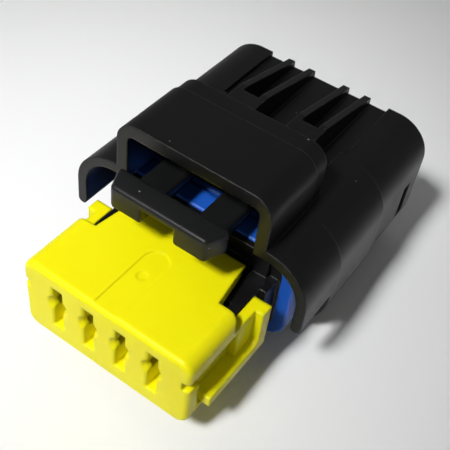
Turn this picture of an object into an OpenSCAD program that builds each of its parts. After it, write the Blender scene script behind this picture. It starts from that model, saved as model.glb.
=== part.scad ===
// Sealed four-way automotive connector, socket half, as supplied without wires.
// A hooded housing carries the core with four contact cavities, a bridge that
// guards the latch, a sliding secondary lock on the nose, a lipped face seal
// round the core, and a wire seal behind a snap-in rear cover.
// X runs across the row, Y from the mating face to the wire side, Z upwards.

/* [Layout] */
// Distance between neighbouring contacts
pitch = 4; // [3.8:0.05:4.1]
// Height of the contact row above the base
contact_z = 10.75; // [10.6:0.05:10.85]
// Height of the core's centre line above the base
axis_z = 9; // [8.8:0.05:9.1]
// Distance from the nose face to the front of the hood
nose_reach = 12.9; // [12.6:0.1:13.4]

/* [Hood and tail] */
// Outer width of the hood at its front
hood_w = 29.6; // [29:0.1:31]
// Outer height of the hood and tail
hood_h = 18.1; // [17.8:0.1:18.6]
// Radius of the hood's upper corners
top_r = 5.2; // [4.5:0.1:6]
// Radius of the hood's lower corners
base_r = 8; // [6:0.5:8.5]
// Thickness of the hood's wall
wall = 1.15; // [1:0.05:1.3]
// Depth of the hood, from its front to the web that carries the core
hood_l = 7.2; // [7:0.1:8]
// Height of the hood's lower edge, which ends in a full round
hood_edge_z = 9.9; // [9:0.1:11]
// Length of the tail, from the web to the rear face
tail_l = 21.1; // [20.8:0.1:24]
// Length of the tail's front half
waist_l = 9.9; // [8:0.1:11]
// Step in of each side at the web
waist_step = 0.35; // [0.1:0.05:0.5]
// Further step in of each side at the rear half
tail_step = 0.45; // [0.1:0.05:0.6]
// Depth of the flat floor between the two lobes on top of the tail
floor_drop = 0.65; // [0.3:0.05:1]
// Width of that floor
floor_w = 15.2; // [14.6:0.1:15.8]
// Width of the floor where it opens out at the rear
floor_rear_w = 16.3; // [16:0.1:17]
// Length of the wide part of the floor
floor_rear_l = 10.6; // [9:0.1:11]

/* [Bridge] */
// Outer width of the bridge over the latch
bridge_w = 18.6; // [18.2:0.1:19.4]
// Gap between the latch pad and the bridge's roof
roof_gap = 1.5; // [1.3:0.05:2.6]
// Length of the bridge
bridge_l = 10.5; // [9.6:0.1:11.5]
// Thickness of the bridge's legs
leg_t = 1.35; // [1.2:0.05:1.5]
// Thickness of the bridge's roof
roof_t = 1.5; // [1.2:0.05:1.7]
// Outer corner radius of the bridge
bridge_r = 2.4; // [1.8:0.1:2.8]
// Inner corner radius of the bridge
bridge_inner_r = 0.8; // [0.4:0.1:1.2]
// Length of the lower band at the rear of the roof
band_l = 2.2; // [1.5:0.1:3]
// Step down of that band
band_drop = 0.15; // [0.1:0.05:0.3]

/* [Latch] */
// Distance from the middle to each arm's centre line
arm_x = 3.72; // [3.6:0.02:3.8]
// Width of each arm
arm_w = 3.4; // [3:0.1:3.5]
// Thickness of the arms
arm_t = 1.4; // [1.2:0.05:1.6]
// Distance from the nose face to the front of the latch pad
pad_y = 7.6; // [7.2:0.1:8.4]
// Depth of the pad, front to back
pad_l = 2.8; // [2.6:0.1:3.4]
// Width of the pad at its front face
pad_w = 11.3; // [10.8:0.1:11.8]
// Width that the pad's ends flare out by at the rear
pad_flare = 1.9; // [1:0.1:2.4]
// Length of the pad's slanted ends
pad_slant_l = 2.3; // [1:0.1:2.5]
// Height of the pad's top above the arms' underside
pad_h = 3.25; // [3:0.05:3.6]
// Height of the two hooks' undersides above the arms' underside
hook_lift = 0.3; // [0:0.05:0.5]
// Thickness of the bar that joins the hooks
bar_t = 1.05; // [0.8:0.05:1.4]
// Width of the notch between the hooks
notch_w = 3.8; // [3.4:0.1:4.4]
// Distance from the web to the line about which the arms lift
root_l = 6.1; // [5.8:0.1:7]

/* [Gussets behind the bridge] */
// Distance from the middle to each inner gusset
gusset_in_x = 2.4; // [2.3:0.05:2.6]
// Distance from the middle to each outer gusset
gusset_out_x = 5.3; // [5.1:0.05:5.5]
// Thickness of a gusset
gusset_t = 0.8; // [0.6:0.05:1]
// Height of the gussets above the top of the tail
gusset_h = 2.65; // [2.3:0.05:3.2]
// Height of the gussets' rear tips above the top of the tail
gusset_tip_h = 0.35; // [0.2:0.05:0.6]
// Length of the gussets' level top
gusset_flat_l = 3.1; // [2.8:0.1:4]
// Length of the plates that carry the latch arms
root_plate_l = 2.3; // [2:0.1:2.8]

/* [Core] */
// Width of the core behind the lock
core_w = 20.8; // [20.6:0.1:21]
// Height of the core behind the lock
core_h = 9.7; // [9.6:0.05:9.9]
// Corner radius of the core
core_r = 1.4; // [1.2:0.1:2]
// Length of the core's full section, from the web forwards
core_l = 4.5; // [4.45:0.05:4.7]
// Width of the shoulders in front of it
step_w = 20.1; // [19.8:0.1:20.4]
// Height of the shoulders' tops above the base
step_z = 12; // [11.6:0.05:12.2]
// Width of the collar in front of the face seal
collar_w = 18; // [17:0.2:18.4]
// Thickness of the collar
collar_t = 0.7; // [0.6:0.05:0.7]
// How far the collar stands above the core
collar_rise = 1.45; // [1.2:0.05:1.5]
// Length of the narrower stretch in front of the full section, inside the lock
fore_l = 5.7; // [5.5:0.1:5.8]
// Height of a contact cavity
cavity_h = 3.9; // [3.8:0.05:4]
// Width of a contact cavity
cavity_w = 2.5; // [2.4:0.05:2.6]
// Width of a key rib on the core's side
key_w = 1.1; // [0.9:0.05:1.15]
// Height of the key ribs' tops above the base
key_z = 12.1; // [11.8:0.05:12.2]
// Length of the key ribs in front of the core
key_l = 3.5; // [3:0.1:3.6]

/* [Locking lances] */
// Width of a lance
lance_w = 1.8; // [1.6:0.05:1.9]
// Thickness of a lance
lance_t = 0.9; // [0.7:0.05:1]
// Gap under a lance, into which it bends
lance_relief = 1.3; // [1.2:0.05:1.4]
// How far the lance's nub stands into the cavity
nub_h = 1; // [0.8:0.05:1.2]
// Length of solid core behind the lances
lance_back = 2.6; // [2.2:0.1:2.8]
// Length of the lance's nub
nub_l = 1; // [0.8:0.1:1.1]

/* [Secondary lock] */
// Width of the lock's front block
lock_w = 20.9; // [20.6:0.1:21.2]
// Height of the lock's front block
lock_h = 10; // [9.9:0.05:10.2]
// Length of the front block
block_l = 7.9; // [7.7:0.1:8]
// Radius of the block's long edges
block_r = 1.5; // [1.2:0.1:1.8]
// Radius all round the edge of the front face
brow_r = 0.6; // [0.3:0.1:0.7]
// Radius of the block's upright rear edges
heel_r = 1; // [0.6:0.1:1.2]
// Travel from the open to the locked position
lock_travel = 0.9; // [0.75:0.05:0.9]
// Width of the tongue on top
tongue_w = 15.6; // [15.4:0.1:15.8]
// Thickness of the tongue over the core
tongue_t = 0.7; // [0.65:0.05:0.75]
// Depth of the lips along the tongue's edges
tongue_lip = 1.4; // [1:0.05:1.5]
// Length of the tongue behind the block
tongue_l = 5.9; // [5.6:0.1:5.9]
// Width of the tongue's rear end
tongue_end_w = 14; // [13.6:0.1:15]
// Length of the sloped stretch at its rear end
tongue_ramp_l = 2.5; // [2:0.1:3]
// Drop of that slope
tongue_drop = 0.4; // [0.2:0.05:0.45]
// Thickness of the side walls behind the block
side_t = 1.1; // [1:0.05:1.15]
// Height of the side walls' tops above the base
side_z = 12; // [11.6:0.05:12.1]
// Length of the side walls behind the block
side_l = 4.4; // [4.2:0.05:4.4]
// Thickness of the lock's floor
lock_floor_t = 1.2; // [1:0.05:1.25]
// How far the rails and ears stand out from the block
rail_out = 1; // [0.6:0.05:1.2]
// Height of a rail's underside above the base
rail_z = 5.9; // [5.4:0.1:6.4]
// Height of a rail
rail_h = 1.3; // [1:0.1:1.6]
// Distance from the nose face to a rail's front
rail_y = 2.4; // [2:0.1:3]
// Thickness of an ear
ear_t = 1.5; // [1.2:0.1:1.8]
// Radius of the fillet between an ear and its rail
ear_r = 0.8; // [0.4:0.1:1.2]
// Depth of the side groove
groove_d = 0.9; // [0.6:0.05:1]
// Height of the side groove's roof above the base
groove_z = 11.3; // [10.8:0.05:11.5]
// Height of the groove's mouth in the front face
groove_h = 1.2; // [0.8:0.1:1.6]
// Length of the front block below the groove
toe_l = 1.7; // [1.2:0.1:2]
// Width of the shallow channel on top
channel_w = 3; // [2.4:0.1:3.6]
// Length of that channel
channel_l = 9.4; // [8:0.1:10]
// Depth of that channel
channel_d = 0.07; // [0.05:0.01:0.1]
// Diameter of the gate mark in the channel
gate_d = 1.1; // [0.6:0.1:1.4]
// Depth of the gate mark below the block's top
gate_sink = 0.13; // [0.12:0.01:0.2]
// Distance of the gate mark from the front face
gate_l = 5.8; // [5:0.1:6.5]

/* [Tab slots] */
// Thickness of the wall with the slots
slot_wall = 1; // [0.9:0.05:1.2]
// Room between that wall and the locked contacts
tab_room = 0.6; // [0.5:0.05:0.7]
// Width of a slot
slot_w = 1.2; // [1.1:0.05:1.3]
// Height of a slot
slot_h = 6; // [5.8:0.05:6.2]
// How far a slot rises above the middle of the contacts
slot_rise = 1.6; // [1.5:0.05:1.7]
// Radius of the upright edges of a slot's mouth
mouth_r = 0.3; // [0.2:0.05:0.4]
// Depth of the level foot of a slot, below the contact cavity
foot_l = 2.1; // [1.9:0.1:2.3]
// Radius of the round hole across a slot
hole_r = 0.9; // [0.8:0.05:1]
// Radius of that hole's flared rim
rim_r = 1.3; // [1.2:0.05:1.35]
// Depth of that flare
rim_l = 0.5; // [0.4:0.05:0.6]
// How far the hole lies below the middle of the contacts
hole_drop = 0.85; // [0.8:0.05:0.9]

/* [Face seal] */
// Length of the face seal
seal_l = 4.2; // [4:0.05:4.3]
// Thickness of the seal's body
seal_t = 0.9; // [0.7:0.05:1]
// Thickness of the broad front lip
front_lip_t = 1.6; // [1.3:0.05:1.7]
// Length of the broad front lip
front_lip_l = 2.7; // [2.4:0.1:2.8]
// Radius of the broad lip's edges
front_lip_r = 0.35; // [0.2:0.05:0.6]
// Radius of the narrow rear lip
rear_lip_r = 0.5; // [0.3:0.05:0.6]
// Distance of the rear lip's middle from the seal's rear end
rear_lip_in = 0.6; // [0.6:0.05:0.7]

/* [Wire seal and rear cover] */
// Width of the well that holds the wire seal
well_w = 20.6; // [20:0.1:21]
// Height of the well
well_h = 7.4; // [7:0.1:7.6]
// Corner radius of the well
well_r = 2.6; // [2:0.1:3]
// Depth of the well from the rear face
well_l = 9.6; // [9.4:0.1:10]
// Length of the wire seal
mat_l = 6.8; // [6.4:0.1:7]
// Length of the rear cover
cover_l = 2.6; // [2.4:0.1:2.6]
// Thickness of the cover's front plate
cover_plate_t = 1.4; // [1.2:0.1:1.6]
// Thickness of the cover's rim
cover_rim_t = 1; // [0.8:0.1:1.2]
// Diameter of a wire entry in the cover
entry_d = 2.9; // [2.6:0.05:3]
// Outer diameter of the tube round a wire entry
entry_tube_d = 3.9; // [3.7:0.05:4]
// Diameter of a wire hole in the seal
wire_hole_d = 1.5; // [1.2:0.05:1.9]
// Depth of each ring inside a wire hole
wire_ring = 0.2; // [0.1:0.05:0.3]
// Height of the cover's snap beads
bead_h = 0.3; // [0.2:0.05:0.35]
// Length of the cover's snap beads
bead_w = 4; // [3:0.1:4.8]
// Length of a side window, front to back
window_l = 1.6; // [1.4:0.05:2]
// Height of a side window
window_h = 4.8; // [4:0.1:5.4]
// Distance from the rear face to a side window
window_in = 2.1; // [1.9:0.1:2.4]
// Depth of the pockets round the well
pocket_l = 7; // [5:0.5:8]
// Width of such a pocket
pocket_w = 5; // [4.6:0.1:5.4]
// Distance between the middles of neighbouring pockets
pocket_pitch = 6.4; // [6.2:0.1:6.6]
// Radius of the lips round the wire seal
mat_lip_r = 0.3; // [0.2:0.05:0.35]

/* [Contacts] */
// Width of the contact's box with its sleeve
sleeve_w = 2.1; // [2:0.05:2.2]
// Height of the contact's box with its sleeve
sleeve_h = 3.7; // [3.65:0.05:3.75]
// Thickness of the sleeve's sheet
sleeve_t = 0.2; // [0.15:0.01:0.2]
// Thickness of the contact's sheet
sheet_t = 0.2; // [0.15:0.01:0.25]
// Length of the contact's box
box_l = 8.4; // [8.2:0.05:8.4]
// Length of the neck behind the box
neck_l = 2; // [1.8:0.1:2.2]
// Length of the wire crimp
wire_crimp_l = 2.4; // [2:0.1:2.6]
// Length of the insulation crimp
grip_crimp_l = 2.2; // [2:0.1:2.6]
// Length of the strip between the two crimps
crimp_gap = 0.5; // [0.4:0.05:0.7]
// Room in the cavity behind the crimps
crimp_room = 1.5; // [1.2:0.1:1.6]
// Radius to which the box's spring beam is bowed
beam_r = 25; // [22:1:30]
// Outer radius of the wire crimp
wire_crimp_r = 0.9; // [0.8:0.05:1]
// Outer radius of the insulation crimp
grip_crimp_r = 1.1; // [1:0.05:1.15]

/* [Clearances] */
// Gap between sliding faces of the lock and the core
slide_gap = 0.15; // [0.1:0.01:0.2]
// Gap left at an end stop
stop_gap = 0.2; // [0.15:0.01:0.25]
// Gap round the latch arms' rounded roots
root_gap = 0.08; // [0.05:0.01:0.1]
// Gap between a seal or cover and the well
fit_gap = 0.1; // [0.05:0.01:0.15]

/* [Hidden] */
ways = 4;
over = 0.01;
$fn = 48;
// Stations along the part, whose length is centred on the origin
part_l = nose_reach + hood_l + tail_l;
nose_y = -part_l / 2;
hood_y = nose_y + nose_reach;
web_y = hood_y + hood_l;
waist_y = web_y + waist_l;
rear_y = web_y + tail_l;
shoulder_y = web_y - core_l;
collar_y = shoulder_y - collar_t + over;
fore_y = shoulder_y - fore_l;
key_y = fore_y - key_l;
step_y = nose_y + block_l + side_l + lock_travel + slide_gap;
well_y = rear_y - well_l;
window_y = rear_y - window_in - window_l;
bead_y = rear_y - cover_l / 3;
root_y = web_y + root_l;
plate_y = root_y + arm_t / 2 + root_gap;
// Levels
floor_z = hood_h - floor_drop;
arm_z = hood_h;
root_z = arm_z + arm_t / 2;
hook_z = arm_z + hook_lift;
pad_top_z = arm_z + pad_h;
bridge_h = pad_top_z + roof_gap + roof_t;
gusset_z = arm_z + gusset_h;
gusset_tip_z = hood_h + gusset_tip_h;
lock_z = axis_z - lock_h / 2;
lock_top_z = lock_z + lock_h;
fore_top_z = lock_top_z - tongue_t - slide_gap;
fore_base_z = lock_z + lock_floor_t + slide_gap;
cavity_z = contact_z - cavity_h / 2;
lance_z = cavity_z - stop_gap - lance_t;
relief_z = lance_z - lance_relief;
// Half widths
inner_side_x = lock_w / 2 - side_t;
key_x = inner_side_x - slide_gap - key_w;
fore_w = tongue_w - 2 * (tongue_t + slide_gap);
rail_x = lock_w / 2 + rail_out;
// Contacts
contact_y = nose_y + slot_wall + tab_room + lock_travel + stop_gap;
nub_y = contact_y + box_l + stop_gap;

function way_x(i) = (i - (ways - 1) / 2) * pitch;

// An outline in X and Z, drawn from y over a length
module along_y(y, length) {
    translate([0, y + length, 0]) rotate([90, 0, 0]) linear_extrude(length) children();
}

// An outline in Y and Z, drawn across a width centred on x
module across(x, width) {
    translate([x - width / 2, 0, 0]) rotate([90, 0, 90]) linear_extrude(width) children();
}

module both_sides() {
    children();
    mirror([1, 0, 0]) children();
}

// A block given by its centre in X and its low corner and size in Y and Z
module bar(x, width, y, length, z, height) {
    translate([x - width / 2, y, z]) cube([width, length, height]);
}

module rounded(w, h, r) {
    square([w - 2 * r, h], center = true);
    square([w, h - 2 * r], center = true);
    for (sx = [-1, 1], sz = [-1, 1]) translate([sx * (w / 2 - r), sz * (h / 2 - r)]) circle(r);
}

// A profile carried round a rounded rectangle; its x points outwards, its y along Y
module band(w, h, r) {
    for (a = [0, 180]) {
        rotate([0, a, 0]) translate([w / 2, 0, 0]) linear_extrude(h - 2 * r, center = true) children();
        rotate([0, a + 90, 0]) translate([h / 2, 0, 0]) linear_extrude(w - 2 * r, center = true) children();
        for (side = [0, 1]) rotate([0, a, 0]) mirror([0, 0, side])
            translate([w / 2 - r, 0, r - h / 2]) rotate([-90, 0, 0])
                rotate_extrude(angle = 90) translate([r, 0]) children();
    }
}

// Closed section that stands on z = 0, with its own upper and lower corner radii
module standing(w, h, r_top, r_base) {
    translate([-w / 2, r_base]) square([w, h - r_top - r_base]);
    translate([r_top - w / 2, h / 2]) square([w - 2 * r_top, h / 2]);
    translate([r_base - w / 2, 0]) square([w - 2 * r_base, h / 2]);
    for (sx = [-1, 1]) {
        translate([sx * (w / 2 - r_top), h - r_top]) circle(r_top);
        translate([sx * (w / 2 - r_base), r_base]) circle(r_base);
    }
}

// Arch of the bridge, whose feet go down to the hood's shoulders
module arch(w, top, r) {
    foot = hood_h - 2 * wall;
    translate([-w / 2, foot]) square([w, top - r - foot]);
    translate([r - w / 2, foot]) square([w - 2 * r, top - foot]);
    for (sx = [-1, 1]) translate([sx * (w / 2 - r), top - r]) circle(r);
}

// ---------------------------------------------------------------- housing

module hood_section() {
    difference() {
        union() {
            standing(hood_w, hood_h, top_r, base_r);
            arch(bridge_w, bridge_h, bridge_r);
        }
        translate([0, wall]) standing(hood_w - 2 * wall, hood_h - 2 * wall, top_r - wall, base_r - wall);
        arch(bridge_w - 2 * leg_t, bridge_h - roof_t, bridge_inner_r);
        translate([-hood_w / 2, -over]) square([hood_w, hood_edge_z + over]);
    }
    for (sx = [-1, 1]) translate([sx * (hood_w - wall) / 2, hood_edge_z]) circle(wall / 2);
}

module tail_section(step) {
    standing(hood_w - 2 * step, hood_h, top_r - step, base_r - step);
}

// Roof and legs of the bridge behind the web, with the lower band at the rear
module bridge_rear() {
    main_l = bridge_l - hood_l - band_l;
    difference() {
        union() {
            along_y(web_y - over, main_l + over) arch(bridge_w, bridge_h, bridge_r);
            along_y(web_y + main_l - over, band_l + over)
                arch(bridge_w - 2 * band_drop, bridge_h - band_drop, bridge_r);
        }
        along_y(web_y - 1, bridge_l) arch(bridge_w - 2 * leg_t, bridge_h - roof_t, bridge_inner_r);
    }
}

module floor_cut() {
    long_l = tail_l + 1;
    depth = bridge_h;
    difference() {
        union() {
            bar(0, floor_w, web_y - over, long_l, floor_z, depth);
            bar(0, floor_rear_w, rear_y - floor_rear_l, floor_rear_l + 1, floor_z, depth);
        }
        bridge_rear();
    }
}

module gusset(x) {
    r = gusset_t / 2;
    foot = floor_z - floor_drop;
    knee_y = plate_y + gusset_flat_l;
    tip_y = rear_y - r;
    across(x, gusset_t) {
        polygon([[plate_y, foot], [plate_y, gusset_z], [knee_y, gusset_z],
                 [tip_y, gusset_tip_z], [tip_y + r, gusset_tip_z - r], [tip_y + r, foot]]);
        translate([tip_y, gusset_tip_z - r]) circle(r);
    }
}

// Plates between the gussets, hollowed at the front for the latch arms' roots
module root_plate(side) {
    difference() {
        bar(side * (gusset_in_x + gusset_out_x) / 2, gusset_out_x - gusset_in_x, root_y,
            plate_y - root_y + root_plate_l, floor_z - over, gusset_z - floor_z);
        translate([side * arm_x, root_y, root_z]) rotate([0, 90, 0])
            cylinder(h = arm_w + 2 * pitch, r = arm_t / 2 + root_gap, center = true);
    }
}

module core_solid() {
    along_y(shoulder_y, core_l + over) translate([0, axis_z]) rounded(core_w, core_h, core_r);
    bar(0, fore_w, fore_y, fore_l + over, fore_base_z, fore_top_z - fore_base_z);
    bar(0, 2 * (key_x + key_w), fore_y, fore_l + over, fore_base_z, key_z - fore_base_z);
    bar(0, step_w, step_y, shoulder_y - step_y + over, axis_z - core_h / 2, step_z - axis_z + core_h / 2);
    bar(0, collar_w, collar_y, collar_t, step_z - over, axis_z + core_h / 2 + collar_rise - step_z);
    both_sides() bar(key_x + key_w / 2, key_w, key_y, key_l + over, fore_base_z, key_z - fore_base_z);
}

module cavity(i) {
    x = way_x(i);
    crimp_end = contact_y + box_l + neck_l + wire_crimp_l + crimp_gap + grip_crimp_l + crimp_room;
    bar(x, cavity_w, fore_y - over, crimp_end - fore_y, cavity_z, cavity_h);
    bar(x, cavity_w, fore_y - over, web_y - lance_back - fore_y, relief_z,
        cavity_z - relief_z + over);
    translate([x, rear_y, contact_z]) rotate([90, 0, 0])
        cylinder(h = rear_y - crimp_end + 1, r = cavity_w / 2);
}

module lance(i) {
    x = way_x(i);
    root = web_y - lance_back;
    nub_top = cavity_z + nub_h;
    across(x, lance_w) polygon([[nub_y, lance_z], [nub_y, nub_top], [nub_y + nub_l / 2, nub_top],
        [nub_y + 2 * nub_l, lance_z + lance_t], [root + over, lance_z + lance_t], [root + over, lance_z]]);
}

module well_pockets() {
    inner_z = well_h / 2 + wall;
    roof = floor_z - wall;
    for (x = [-pocket_pitch, 0, pocket_pitch]) {
        bar(x, pocket_w, rear_y - pocket_l, pocket_l + over, axis_z + inner_z, roof - axis_z - inner_z);
        bar(x, pocket_w, rear_y - pocket_l, pocket_l + over, wall, axis_z - inner_z - wall);
    }
}

module housing() color("#26262a") {
    difference() {
        union() {
            along_y(hood_y, hood_l) hood_section();
            along_y(web_y, waist_l) tail_section(waist_step);
            along_y(waist_y - over, rear_y - waist_y + over) tail_section(waist_step + tail_step);
            bridge_rear();
            core_solid();
        }
        floor_cut();
        for (i = [0 : ways - 1]) cavity(i);
        along_y(well_y, well_l + over) translate([0, axis_z]) rounded(well_w, well_h, well_r);
        snap_beads(well_w / 2, bead_h + fit_gap / 2, bead_w + 2 * fit_gap);
        bar(0, hood_w, window_y, window_l, axis_z - window_h / 2, window_h);
        well_pockets();
    }
    for (side = [-1, 1]) {
        gusset(side * gusset_in_x);
        gusset(side * gusset_out_x);
        root_plate(side);
    }
    for (i = [0 : ways - 1]) lance(i);
}

// ---------------------------------------------------------------- latch

module latch() color("#2b2b30") {
    arm_y = nose_y + pad_y + pad_l - over;
    pad_z = pad_top_z - bar_t;
    half = pad_w / 2;
    difference() {
        translate([0, nose_y + pad_y, hook_z]) linear_extrude(pad_top_z - hook_z)
            polygon([[-half, 0], [half, 0], [half + pad_flare / 2, pad_slant_l],
                     [half + pad_flare / 2, pad_l], [-half - pad_flare / 2, pad_l],
                     [-half - pad_flare / 2, pad_slant_l]]);
        bar(0, notch_w, nose_y + pad_y - over, pad_l + 1, hook_z - over, pad_z - hook_z);
    }
    for (side = [-1, 1]) {
        bar(side * arm_x, arm_w, arm_y, root_y - arm_y, arm_z, arm_t);
        translate([side * arm_x, root_y, root_z]) rotate([0, 90, 0])
            cylinder(h = arm_w, r = arm_t / 2, center = true);
    }
}

// ---------------------------------------------------------------- secondary lock

module block_section(inset) {
    translate([0, axis_z]) rounded(lock_w - 2 * inset, lock_h - 2 * inset, block_r - inset);
}

// Front block, with a soft edge all round its front face and upright rear edges
module block() {
    r = brow_r;
    heel_x = lock_w / 2 - heel_r;
    heel_y = nose_y + block_l - heel_r;
    along_y(nose_y, r + over) block_section(r);
    translate([0, nose_y, axis_z]) band(lock_w - 2 * r, lock_h - 2 * r, block_r - r)
        translate([0, r]) circle(r);
    difference() {
        along_y(nose_y + r, block_l - r) block_section(0);
        both_sides() difference() {
            bar(heel_x + heel_r, 2 * heel_r, heel_y, 2 * heel_r, side_z, lock_h);
            translate([heel_x, heel_y, lock_z]) cylinder(h = 2 * lock_h, r = heel_r);
        }
    }
}

module tab_slot(i) {
    x = way_x(i);
    z = contact_z + slot_rise - slot_h;
    mouth_x = slot_w / 2 + mouth_r;
    bar(x, slot_w, nose_y - over, slot_wall + 1, z + slot_h / 2, slot_h / 2);
    bar(x, slot_w, nose_y - over, foot_l + over, z, slot_h / 2 + over);
    translate([x, nose_y, z]) linear_extrude(slot_h) difference() {
        translate([-mouth_x, -over]) square([2 * mouth_x, mouth_r]);
        for (side = [-1, 1]) translate([side * mouth_x, mouth_r]) circle(mouth_r);
    }
    translate([x, nose_y - over, contact_z - hole_drop]) rotate([-90, 0, 0]) {
        cylinder(h = slot_wall + 1, r = hole_r);
        cylinder(h = rim_l, r1 = rim_r, r2 = hole_r);
    }
}

module side_groove() {
    x = lock_w / 2;
    rail_top = rail_z + rail_h;
    deep_y = nose_y + toe_l;
    bar(x, 2 * groove_d, nose_y - over, block_l + over, groove_z - groove_h, groove_h);
    bar(x, 2 * groove_d, deep_y, nose_y + block_l - deep_y, rail_top, groove_z - rail_top);
    bar(x, 2 * groove_d, deep_y, nose_y + rail_y - deep_y, rail_z, groove_z - rail_z);
}

// Fillet between an ear and the rail in front of it, drawn in Y and Z
module ear_fillet(y, z) {
    difference() {
        translate([y - ear_r, z - over]) square([ear_r + over, ear_r + over]);
        translate([y - ear_r, z + ear_r]) circle(ear_r);
    }
}

// Shallow channel on top, with a round rear end
module channel() {
    end_y = nose_y + channel_l - channel_w / 2;
    translate([0, end_y, lock_top_z - channel_d]) cylinder(h = 1, r = channel_w / 2);
    bar(0, channel_w, nose_y - over, end_y - nose_y + over, lock_top_z - channel_d, 1);
}

module secondary_lock() color("#f4e21c") {
    back_y = nose_y + block_l;
    sleeve_y = back_y - over;
    ear_y = back_y + side_l - ear_t;
    difference() {
        union() {
            block();
            along_y(sleeve_y, side_l + over) intersection() {
                block_section(0);
                translate([-lock_w, lock_z]) square([2 * lock_w, side_z - lock_z]);
            }
            bar(0, 2 * rail_x, ear_y, ear_t, rail_z, side_z - rail_z);
            both_sides() across(inner_side_x + (rail_x - inner_side_x) / 2, rail_x - inner_side_x)
                ear_fillet(ear_y, rail_z + rail_h);
            both_sides() bar(rail_x - rail_out, 2 * rail_out, nose_y + rail_y, block_l + side_l - rail_y,
                             rail_z, rail_h);
        }
        bar(0, 2 * inner_side_x, back_y, side_l + 1, lock_z + lock_floor_t, lock_h);
        for (i = [0 : ways - 1]) {
            tab_slot(i);
            bar(way_x(i), cavity_w, nose_y + slot_wall, block_l, cavity_z, cavity_h);
        }
        both_sides() {
            side_groove();
            bar(key_x + key_w / 2, key_w + 2 * slide_gap, key_y - lock_travel - stop_gap, block_l,
                fore_base_z - slide_gap, key_z - fore_base_z + 2 * slide_gap);
        }
        channel();
        translate([0, nose_y + gate_l, lock_top_z - gate_sink]) cylinder(h = 1, r = gate_d / 2);
    }
    difference() {
        translate([0, 0, lock_top_z - tongue_lip]) linear_extrude(tongue_lip) polygon([
            [-tongue_w / 2, sleeve_y], [tongue_w / 2, sleeve_y],
            [tongue_end_w / 2, back_y + tongue_l], [-tongue_end_w / 2, back_y + tongue_l]]);
        bar(0, fore_w + 2 * slide_gap, back_y, tongue_l + 1, lock_top_z - tongue_t - tongue_lip, tongue_lip);
        across(0, 2 * tongue_w) polygon([
            [back_y + tongue_l - tongue_ramp_l, lock_top_z], [back_y + tongue_l, lock_top_z - tongue_drop],
            [back_y + tongue_l + 1, lock_top_z - tongue_drop], [back_y + tongue_l + 1, lock_top_z + 1],
            [back_y + tongue_l - tongue_ramp_l, lock_top_z + 1]]);
        channel();
    }
    for (i = [0 : ways - 1]) bar(way_x(i), lance_w, sleeve_y, nub_y - stop_gap - sleeve_y - slide_gap,
                                 relief_z + slide_gap, lance_relief - 2 * slide_gap);
}

// ---------------------------------------------------------------- seals

module face_seal() color("#1f5fc4") translate([0, web_y - seal_l - stop_gap, axis_z]) {
    r = front_lip_r;
    band(core_w, core_h, core_r) {
        square([seal_t, seal_l]);
        square([front_lip_t - r, front_lip_l]);
        translate([0, r]) square([front_lip_t, front_lip_l - 2 * r]);
        for (y = [r, front_lip_l - r]) translate([front_lip_t - r, y]) circle(r, $fn = 24);
        translate([seal_t, seal_l - rear_lip_in]) circle(rear_lip_r, $fn = 24);
    }
}

module wire_seal() color("#1f5fc4") {
    w = well_w - 2 * (fit_gap + mat_lip_r);
    h = well_h - 2 * (fit_gap + mat_lip_r);
    r = well_r - fit_gap - mat_lip_r;
    y = well_y + fit_gap;
    difference() {
        along_y(y, mat_l) translate([0, axis_z]) rounded(w, h, r);
        for (i = [0 : ways - 1]) translate([way_x(i), y - 1, contact_z]) rotate([-90, 0, 0]) {
            cylinder(h = mat_l + 2, r = wire_hole_d / 2);
            for (k = [0 : 2]) translate([0, 0, 1 + (k + 0.25) * mat_l / 3])
                cylinder(h = mat_l / 6, r = wire_hole_d / 2 + wire_ring);
        }
    }
    translate([0, y, axis_z]) band(w, h, r) for (k = [1, 3]) translate([0, k * mat_l / 4])
        circle(mat_lip_r, $fn = 24);
}

// ---------------------------------------------------------------- rear cover

// Ridges on both narrow sides that snap into grooves in the well
module snap_beads(x, height, width) {
    both_sides() translate([x, 0, axis_z - width / 2]) linear_extrude(width) polygon([
        [-over, bead_y - height], [height, bead_y], [-over, bead_y + height]]);
}

module rear_cover() color("#232327") {
    w = well_w - 2 * fit_gap;
    h = well_h - 2 * fit_gap;
    r = well_r - fit_gap;
    y = rear_y - cover_l;
    difference() {
        union() {
            difference() {
                along_y(y, cover_l) translate([0, axis_z]) rounded(w, h, r);
                along_y(y + cover_plate_t, cover_l) translate([0, axis_z])
                    rounded(w - 2 * cover_rim_t, h - 2 * cover_rim_t, r - cover_rim_t);
            }
            intersection() {
                for (i = [0 : ways - 1]) translate([way_x(i), y, contact_z]) rotate([-90, 0, 0])
                    cylinder(h = cover_l, r = entry_tube_d / 2);
                along_y(y, cover_l) translate([0, axis_z]) rounded(w, h, r);
            }
            snap_beads(w / 2, bead_h, bead_w);
        }
        for (i = [0 : ways - 1]) translate([way_x(i), y - 1, contact_z]) rotate([-90, 0, 0])
            cylinder(h = cover_l + 2, r = entry_d / 2);
    }
}

// ---------------------------------------------------------------- contacts

// Open U that a wire is crimped into
module crimp(y, length, r) {
    difference() {
        union() {
            translate([0, y, 0]) rotate([-90, 0, 0]) cylinder(h = length, r = r);
            bar(0, 2 * r, y, length, 0, sleeve_h / 2 - sleeve_t);
        }
        translate([0, y - 1, 0]) rotate([-90, 0, 0]) cylinder(h = length + 2, r = r - sheet_t);
        bar(0, 2 * (r - sheet_t), y - 1, length + 2, 0, sleeve_h);
    }
}

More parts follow.
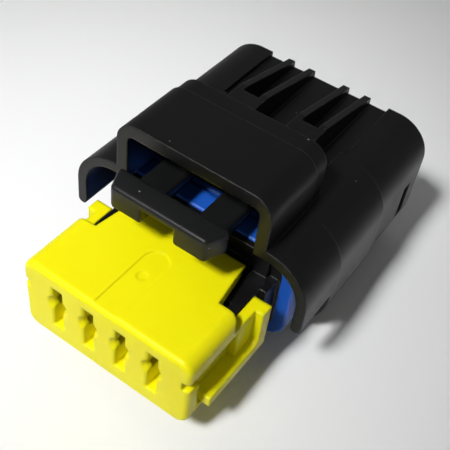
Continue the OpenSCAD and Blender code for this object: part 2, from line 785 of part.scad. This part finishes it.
module contact(i) color("#c9a35a") translate([way_x(i), contact_y, contact_z]) {
    w = sleeve_w - 2 * sleeve_t;
    h = sleeve_h - 2 * sleeve_t;
    crimp_y = box_l + neck_l;
    difference() {
        bar(0, w, 0, box_l, -h / 2, h);
        bar(0, w - 2 * sheet_t, -1, box_l + 2, -h / 2 + sheet_t, h - 2 * sheet_t);
    }
    // Bowed beam that presses on the tab
    intersection() {
        translate([w / 2 + beam_r - 2 * sheet_t - slide_gap, box_l / 2, 0]) difference() {
            cylinder(h = h / 2, r = beam_r, center = true, $fn = 180);
            cylinder(h = h, r = beam_r - sheet_t, center = true, $fn = 180);
        }
        bar(0, w - sheet_t, 0, box_l, -h / 4, h / 2);
    }
    difference() {
        bar(0, w, box_l - over, neck_l + 2 * over, -wire_crimp_r, h / 2 + wire_crimp_r / 2);
        bar(0, w - 2 * sheet_t, box_l - 1, neck_l + 2, -wire_crimp_r + sheet_t, h);
    }
    crimp(crimp_y, wire_crimp_l, wire_crimp_r);
    bar(0, wire_crimp_r, crimp_y + wire_crimp_l - over, crimp_gap + 2 * over, -wire_crimp_r, sheet_t);
    crimp(crimp_y + wire_crimp_l + crimp_gap, grip_crimp_l, grip_crimp_r);
}

module contact_sleeve(i) color("#b8bcc2") translate([way_x(i), contact_y, contact_z]) {
    w = sleeve_w - 2 * sleeve_t;
    h = sleeve_h - 2 * sleeve_t;
    difference() {
        bar(0, sleeve_w, sheet_t, box_l - 2 * sheet_t, -sleeve_h / 2, sleeve_h);
        bar(0, w, -1, box_l + 2, -h / 2, h);
        bar(0, 2 * sleeve_w, box_l / 3, box_l / 3, -h / 8, h / 4);
    }
}

module contact_1() contact(0);
module contact_2() contact(1);
module contact_3() contact(2);
module contact_4() contact(3);
module contact_sleeve_1() contact_sleeve(0);
module contact_sleeve_2() contact_sleeve(1);
module contact_sleeve_3() contact_sleeve(2);
module contact_sleeve_4() contact_sleeve(3);

housing();
latch();
secondary_lock();
face_seal();
wire_seal();
rear_cover();
contact_1();
contact_2();
contact_3();
contact_4();
contact_sleeve_1();
contact_sleeve_2();
contact_sleeve_3();
contact_sleeve_4();
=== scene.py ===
import math

import bmesh
import bpy
from mathutils import Matrix, Vector


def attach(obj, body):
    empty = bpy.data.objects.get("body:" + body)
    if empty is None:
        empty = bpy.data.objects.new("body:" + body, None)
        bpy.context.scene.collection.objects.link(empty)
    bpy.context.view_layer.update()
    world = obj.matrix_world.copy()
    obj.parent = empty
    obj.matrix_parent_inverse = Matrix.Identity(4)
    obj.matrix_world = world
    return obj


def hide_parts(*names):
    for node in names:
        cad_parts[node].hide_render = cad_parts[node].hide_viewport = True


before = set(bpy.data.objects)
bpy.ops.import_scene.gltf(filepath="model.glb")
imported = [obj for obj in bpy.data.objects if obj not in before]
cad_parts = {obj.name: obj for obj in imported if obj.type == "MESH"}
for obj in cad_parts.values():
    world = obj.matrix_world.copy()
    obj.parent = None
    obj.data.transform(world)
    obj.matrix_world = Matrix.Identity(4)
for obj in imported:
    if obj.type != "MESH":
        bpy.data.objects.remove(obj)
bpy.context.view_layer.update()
mm = 0.001

scene = bpy.context.scene
scene.view_settings.view_transform = "Standard"

camera = {
    "place": (0.03103, -0.05557, 0.07644),
    "right": (0.81282, 0.57370, 0.10094),
    "up": (-0.47736, 0.55670, 0.67986),
    "back": (0.33384, -0.60079, 0.72636),
    "lens": 65.45,
    "sensor": 36,
    "near": 0.001,
}


def makeCamera():
    data = bpy.data.cameras.new("studioCamera")
    data.lens = camera["lens"]
    data.sensor_width = camera["sensor"]
    data.clip_start = camera["near"]
    thing = bpy.data.objects.new("studioCamera", data)
    scene.collection.objects.link(thing)
    turn = Matrix((camera["right"], camera["up"], camera["back"])).transposed().to_4x4()
    thing.matrix_world = Matrix.Translation(camera["place"]) @ turn
    scene.camera = thing


def newMaterial(name):
    # A node material, with its tree and its shader
    mat = bpy.data.materials.new(name)
    mat.use_nodes = True
    tree = mat.node_tree
    shader = tree.nodes["Principled BSDF"]
    return mat, tree, shader


def addNode(tree, kind, values=None, **settings):
    node = tree.nodes.new(kind)
    for key, value in settings.items():
        setattr(node, key, value)
    for key, value in (values or {}).items():
        node.inputs[key].default_value = value
    return node


def link(tree, source, target):
    tree.links.new(source, target)


def softEdge(tree, bump, radius):
    # Moulded edges: the surface's direction is averaged over a small radius before the grain is added
    edge = addNode(tree, "ShaderNodeBevel", {"Radius": radius}, samples=8)
    link(tree, edge.outputs["Normal"], bump.inputs["Normal"])


wearHighlightLook = {
    "radius": 0.00022,
    "flat": 0.995,  # dot of the two directions where the lighter edge starts
    "sharp": 0.9,  # and where it is full
    "least": 0.42,  # noise below this leaves an edge its plain colour
    "most": 0.72,
}


def edgeWearHighlight(tree, place, scale):
    # Edges painted lighter, partly as rubbed wear and partly as a painted highlight: one minus the dot of
    # the true and the averaged direction, broken up by noise
    edge = addNode(tree, "ShaderNodeBevel", {"Radius": wearHighlightLook["radius"]}, samples=6)
    true = addNode(tree, "ShaderNodeNewGeometry")
    dot = addNode(tree, "ShaderNodeVectorMath", operation="DOT_PRODUCT")
    link(tree, edge.outputs["Normal"], dot.inputs[0])
    link(tree, true.outputs["Normal"], dot.inputs[1])
    turned = addNode(tree, "ShaderNodeMapRange",
                     {"From Min": wearHighlightLook["flat"], "From Max": wearHighlightLook["sharp"]})
    link(tree, dot.outputs["Value"], turned.inputs["Value"])
    patchy = addNode(tree, "ShaderNodeTexNoise", {"Scale": scale, "Detail": 4, "Roughness": 0.7})
    link(tree, place, patchy.inputs["Vector"])
    share = addNode(tree, "ShaderNodeMapRange",
                    {"From Min": wearHighlightLook["least"], "From Max": wearHighlightLook["most"]})
    link(tree, patchy.outputs["Fac"], share.inputs["Value"])
    wornAndHighlight = addNode(tree, "ShaderNodeMath", operation="MULTIPLY")
    link(tree, turned.outputs["Result"], wornAndHighlight.inputs[0])
    link(tree, share.outputs["Result"], wornAndHighlight.inputs[1])
    return wornAndHighlight.outputs["Value"]


blackLook = {
    "dark": (0.0026, 0.0026, 0.0028, 1),
    "light": (0.0054, 0.0054, 0.0058, 1),
    "dust": (0.16, 0.16, 0.16, 1),
    # lighter grey for the edges: rubbed wear together with a painted edge highlight
    "wornAndHighlight": (0.05, 0.052, 0.055, 1),
    "wearHighlightScale": 1400,
    "roughness": 0.4,
    "specular": 0.3,
    "grain": 9000,
    "grainDepth": 0.00002,
    "cloud": 160,
    "speck": 900,
    "speckSkip": 0.93,  # share of the cells that stay clean
    "softEdge": 0.0003,
}


def blackPlastic(name, look, seed=0.0):
    # Fine moulded grain in the bump, slow clouds in the colour and gloss, sparse pale specks, and edges
    # painted lighter, partly as rubbed wear and partly as a painted highlight
    mat, tree, shader = newMaterial(name)
    place = addNode(tree, "ShaderNodeTexCoord")
    shift = addNode(tree, "ShaderNodeMapping", {"Location": (seed, seed * 0.7, seed * 0.3)})
    link(tree, place.outputs["Object"], shift.inputs["Vector"])
    cloud = addNode(tree, "ShaderNodeTexNoise", {"Scale": look["cloud"], "Detail": 5, "Roughness": 0.6})
    link(tree, shift.outputs["Vector"], cloud.inputs["Vector"])
    tint = addNode(tree, "ShaderNodeMix", data_type="RGBA")
    tint.inputs["A"].default_value = look["dark"]
    tint.inputs["B"].default_value = look["light"]
    link(tree, cloud.outputs["Fac"], tint.inputs["Factor"])
    speck = addNode(tree, "ShaderNodeTexVoronoi", {"Scale": look["speck"], "Randomness": 1.0})
    link(tree, shift.outputs["Vector"], speck.inputs["Vector"])
    small = addNode(tree, "ShaderNodeMapRange",
                    {"From Min": 0.05, "From Max": 0.12, "To Min": 1, "To Max": 0})
    link(tree, speck.outputs["Distance"], small.inputs["Value"])
    rare = addNode(tree, "ShaderNodeSeparateColor")
    link(tree, speck.outputs["Color"], rare.inputs["Color"])
    chosen = addNode(tree, "ShaderNodeMath", {1: look["speckSkip"]}, operation="GREATER_THAN")
    link(tree, rare.outputs["Red"], chosen.inputs[0])
    dust = addNode(tree, "ShaderNodeMath", operation="MULTIPLY")
    link(tree, small.outputs["Result"], dust.inputs[0])
    link(tree, chosen.outputs["Value"], dust.inputs[1])
    colour = addNode(tree, "ShaderNodeMix", data_type="RGBA")
    colour.inputs["B"].default_value = look["dust"]
    link(tree, dust.outputs["Value"], colour.inputs["Factor"])
    link(tree, tint.outputs["Result"], colour.inputs["A"])
    # edges mixed towards the lighter grey: rubbed wear and a painted highlight along the edges
    rubbedAndHighlit = addNode(tree, "ShaderNodeMix", data_type="RGBA")
    rubbedAndHighlit.inputs["B"].default_value = look["wornAndHighlight"]
    link(tree, edgeWearHighlight(tree, shift.outputs["Vector"], look["wearHighlightScale"]), rubbedAndHighlit.inputs["Factor"])
    link(tree, colour.outputs["Result"], rubbedAndHighlit.inputs["A"])
    link(tree, rubbedAndHighlit.outputs["Result"], shader.inputs["Base Color"])
    gloss = addNode(tree, "ShaderNodeMapRange",
                    {"To Min": look["roughness"] - 0.07, "To Max": look["roughness"] + 0.09})
    link(tree, cloud.outputs["Fac"], gloss.inputs["Value"])
    link(tree, gloss.outputs["Result"], shader.inputs["Roughness"])
    grain = addNode(tree, "ShaderNodeTexNoise", {"Scale": look["grain"], "Detail": 2})
    link(tree, place.outputs["Object"], grain.inputs["Vector"])
    shader.inputs["Specular IOR Level"].default_value = look["specular"]
    bump = addNode(tree, "ShaderNodeBump", {"Strength": 0.25, "Distance": look["grainDepth"]})
    link(tree, grain.outputs["Fac"], bump.inputs["Height"])
    softEdge(tree, bump, look["softEdge"])
    link(tree, bump.outputs["Normal"], shader.inputs["Normal"])
    return mat


yellowLook = {
    "base": (0.86, 0.80, 0.004, 1),
    "deep": (0.80, 0.72, 0.002, 1),
    "roughness": 0.34,
    "specular": 0.2,
    "glow": 0.12,
    "glowRadius": (1.0, 0.7, 0.1),
    "glowDepth": 0.0006,
    "cloud": 120,
    "ripple": 500,
    "rippleDepth": 0.00006,
    "softEdge": 0.00045,
}


def yellowPlastic(name, look):
    # Satin moulding with faint flow clouds and a slow ripple
    mat, tree, shader = newMaterial(name)
    place = addNode(tree, "ShaderNodeTexCoord")
    cloud = addNode(tree, "ShaderNodeTexNoise", {"Scale": look["cloud"], "Detail": 4})
    link(tree, place.outputs["Object"], cloud.inputs["Vector"])
    tint = addNode(tree, "ShaderNodeMix", data_type="RGBA")
    tint.inputs["A"].default_value = look["deep"]
    tint.inputs["B"].default_value = look["base"]
    link(tree, cloud.outputs["Fac"], tint.inputs["Factor"])
    link(tree, tint.outputs["Result"], shader.inputs["Base Color"])
    shader.inputs["Roughness"].default_value = look["roughness"]
    shader.inputs["Specular IOR Level"].default_value = look["specular"]
    shader.inputs["Subsurface Weight"].default_value = look["glow"]
    shader.inputs["Subsurface Radius"].default_value = look["glowRadius"]
    shader.inputs["Subsurface Scale"].default_value = look["glowDepth"]
    ripple = addNode(tree, "ShaderNodeTexNoise", {"Scale": look["ripple"], "Detail": 3})
    link(tree, place.outputs["Object"], ripple.inputs["Vector"])
    bump = addNode(tree, "ShaderNodeBump", {"Strength": 0.12, "Distance": look["rippleDepth"]})
    link(tree, ripple.outputs["Fac"], bump.inputs["Height"])
    softEdge(tree, bump, look["softEdge"])
    link(tree, bump.outputs["Normal"], shader.inputs["Normal"])
    return mat


blueLook = {
    "base": (0.007, 0.075, 0.42, 1),
    "pale": (0.010, 0.10, 0.50, 1),
    "roughness": 0.42,
    "cloud": 300,
}


def blueSilicone(name, look):
    # Smooth rubber with faint flow clouds
    mat, tree, shader = newMaterial(name)
    place = addNode(tree, "ShaderNodeTexCoord")
    cloud = addNode(tree, "ShaderNodeTexNoise", {"Scale": look["cloud"], "Detail": 4})
    link(tree, place.outputs["Object"], cloud.inputs["Vector"])
    tint = addNode(tree, "ShaderNodeMix", data_type="RGBA")
    tint.inputs["A"].default_value = look["base"]
    tint.inputs["B"].default_value = look["pale"]
    link(tree, cloud.outputs["Fac"], tint.inputs["Factor"])
    link(tree, tint.outputs["Result"], shader.inputs["Base Color"])
    shader.inputs["Roughness"].default_value = look["roughness"]
    return mat


def sheetMetal(name, base, roughness):
    # Rolled sheet: fine streaks along the rolling direction change the gloss
    mat, tree, shader = newMaterial(name)
    place = addNode(tree, "ShaderNodeTexCoord")
    stretch = addNode(tree, "ShaderNodeMapping", {"Scale": (4000, 300, 4000)})
    link(tree, place.outputs["Object"], stretch.inputs["Vector"])
    streak = addNode(tree, "ShaderNodeTexNoise", {"Scale": 1.0, "Detail": 3})
    link(tree, stretch.outputs["Vector"], streak.inputs["Vector"])
    gloss = addNode(tree, "ShaderNodeMapRange", {"To Min": roughness - 0.08, "To Max": roughness + 0.12})
    link(tree, streak.outputs["Fac"], gloss.inputs["Value"])
    link(tree, gloss.outputs["Result"], shader.inputs["Roughness"])
    shader.inputs["Base Color"].default_value = base
    shader.inputs["Metallic"].default_value = 1
    return mat


softLook = {
    "width": 0.4 * mm,
    "merge": 0.002 * mm,
    "flatAngle": 1.5,  # degrees under which faces join
    "edgeAngle": 32,  # degrees over which an edge is rolled
}


def softCopy(node, name):
    # The node's faces: triangles joined where they are level, then each sharp edge rolled to an arc
    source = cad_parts[node]
    mesh = source.data.copy()
    shape = bmesh.new()
    shape.from_mesh(mesh)
    bmesh.ops.remove_doubles(shape, verts=shape.verts, dist=softLook["merge"])
    flat = math.radians(softLook["flatAngle"])
    bmesh.ops.dissolve_limit(shape, angle_limit=flat, verts=shape.verts, edges=shape.edges)
    shape.to_mesh(mesh)
    shape.free()
    piece = bpy.data.objects.new(name, mesh)
    scene.collection.objects.link(piece)
    roll = piece.modifiers.new("roll", "BEVEL")
    roll.width = softLook["width"]
    roll.segments = 3
    roll.limit_method = "ANGLE"
    roll.angle_limit = math.radians(softLook["edgeAngle"])
    roll.use_clamp_overlap = False
    roll.harden_normals = True
    for face in mesh.polygons:
        face.use_smooth = True
    return piece


latchLook = dict(blackLook, dark=(0.0045, 0.0047, 0.005, 1), light=(0.0085, 0.0088, 0.0094, 1), grain=6000)
black = blackPlastic("blackHousing", blackLook)
blackLatch = blackPlastic("blackLatch", latchLook, 0.013)
yellow = yellowPlastic("yellowLock", yellowLook)
blue = blueSilicone("blueSeal", blueLook)
alloy = sheetMetal("contactAlloy", (0.71, 0.55, 0.28, 1), 0.3)
steel = sheetMetal("sleeveSteel", (0.55, 0.56, 0.58, 1), 0.34)
finishes = {"housing": black, "rear_cover": black, "latch": blackLatch, "secondary_lock": yellow,
            "face_seal": blue, "wire_seal": blue}
for name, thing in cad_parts.items():
    kind = finishes.get(name) or (steel if name.startswith("contact_sleeve") else alloy)
    thing.data.materials.clear()
    thing.data.materials.append(kind)
print("finishes set")

latch = softCopy("latch", "latchMoulding")
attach(latch, "latch_body")
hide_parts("latch")
print("latch rounded")

studio = {
    "floorSize": 1.5,
    "floorRoughness": 0.9,
    "floor": (0.82, 0.82, 0.825, 1),
    "floorBounce": (0.45, 0.45, 0.455, 1),
    "horizon": 0.22,
    "zenith": 0.14,
    "key": 0.066,
    "keySize": 0.09,
    "keyPlace": (-0.07, -0.34, 0.47),
    "keyAim": (-0.025, -0.01, 0.0),
    "keySpread": 20,
    "fill": 0.2,
    "fillSize": 0.4,
    "fillPlace": (-0.45, -0.1, 0.45),
    "fadeEnd": 0.75,  # height on the sky, of 1, where the dim ceiling starts
}


def makeFloor():
    size = studio["floorSize"]
    mesh = bpy.data.meshes.new("floor")
    corners = [(-size, -size, 0), (size, -size, 0), (size, size, 0), (-size, size, 0)]
    mesh.from_pydata(corners, [], [(0, 1, 2, 3)])
    floor = bpy.data.objects.new("floor", mesh)
    scene.collection.objects.link(floor)
    mat, tree, shader = newMaterial("paleFloor")
    # The floor shows its pale colour to the camera and in gloss, and throws back less light
    path = addNode(tree, "ShaderNodeLightPath")
    seen = addNode(tree, "ShaderNodeMath", operation="MAXIMUM")
    link(tree, path.outputs["Is Camera Ray"], seen.inputs[0])
    link(tree, path.outputs["Is Glossy Ray"], seen.inputs[1])
    shade = addNode(tree, "ShaderNodeMix", data_type="RGBA")
    shade.inputs["A"].default_value = studio["floorBounce"]
    shade.inputs["B"].default_value = studio["floor"]
    link(tree, seen.outputs["Value"], shade.inputs["Factor"])
    link(tree, shade.outputs["Result"], shader.inputs["Base Color"])
    shader.inputs["Roughness"].default_value = studio["floorRoughness"]
    mesh.materials.append(mat)


def makeLamp(name, energy, size, place, aim=(0, 0, 0), spread=180):
    lamp = bpy.data.lights.new(name, "AREA")
    lamp.energy = energy
    lamp.size = size
    thing = bpy.data.objects.new(name, lamp)
    scene.collection.objects.link(thing)
    lamp.spread = math.radians(spread)
    place = Vector(place)
    turn = (Vector(aim) - place).to_track_quat("-Z", "Y")
    thing.matrix_world = Matrix.Translation(place) @ turn.to_matrix().to_4x4()


def makeLight():
    # Pale walls and a dim ceiling: the world's strength falls smoothly from the horizon to the zenith
    world = bpy.data.worlds.new("studio")
    world.use_nodes = True
    tree = world.node_tree
    sky = tree.nodes["Background"]
    place = addNode(tree, "ShaderNodeTexCoord")
    split = addNode(tree, "ShaderNodeSeparateXYZ")
    link(tree, place.outputs["Generated"], split.inputs["Vector"])
    fade = addNode(tree, "ShaderNodeMapRange", {"From Min": 0.0, "From Max": studio["fadeEnd"],
                                                "To Min": studio["horizon"], "To Max": studio["zenith"]})
    link(tree, split.outputs["Z"], fade.inputs["Value"])
    link(tree, fade.outputs["Result"], sky.inputs["Strength"])
    sky.inputs["Color"].default_value = (1, 1, 1, 1)
    scene.world = world
    makeLamp("keyLamp", studio["key"], studio["keySize"], studio["keyPlace"], studio["keyAim"],
             studio["keySpread"])
    makeLamp("fillLamp", studio["fill"], studio["fillSize"], studio["fillPlace"])


makeFloor()
makeLight()
makeCamera()
print("studio ready")
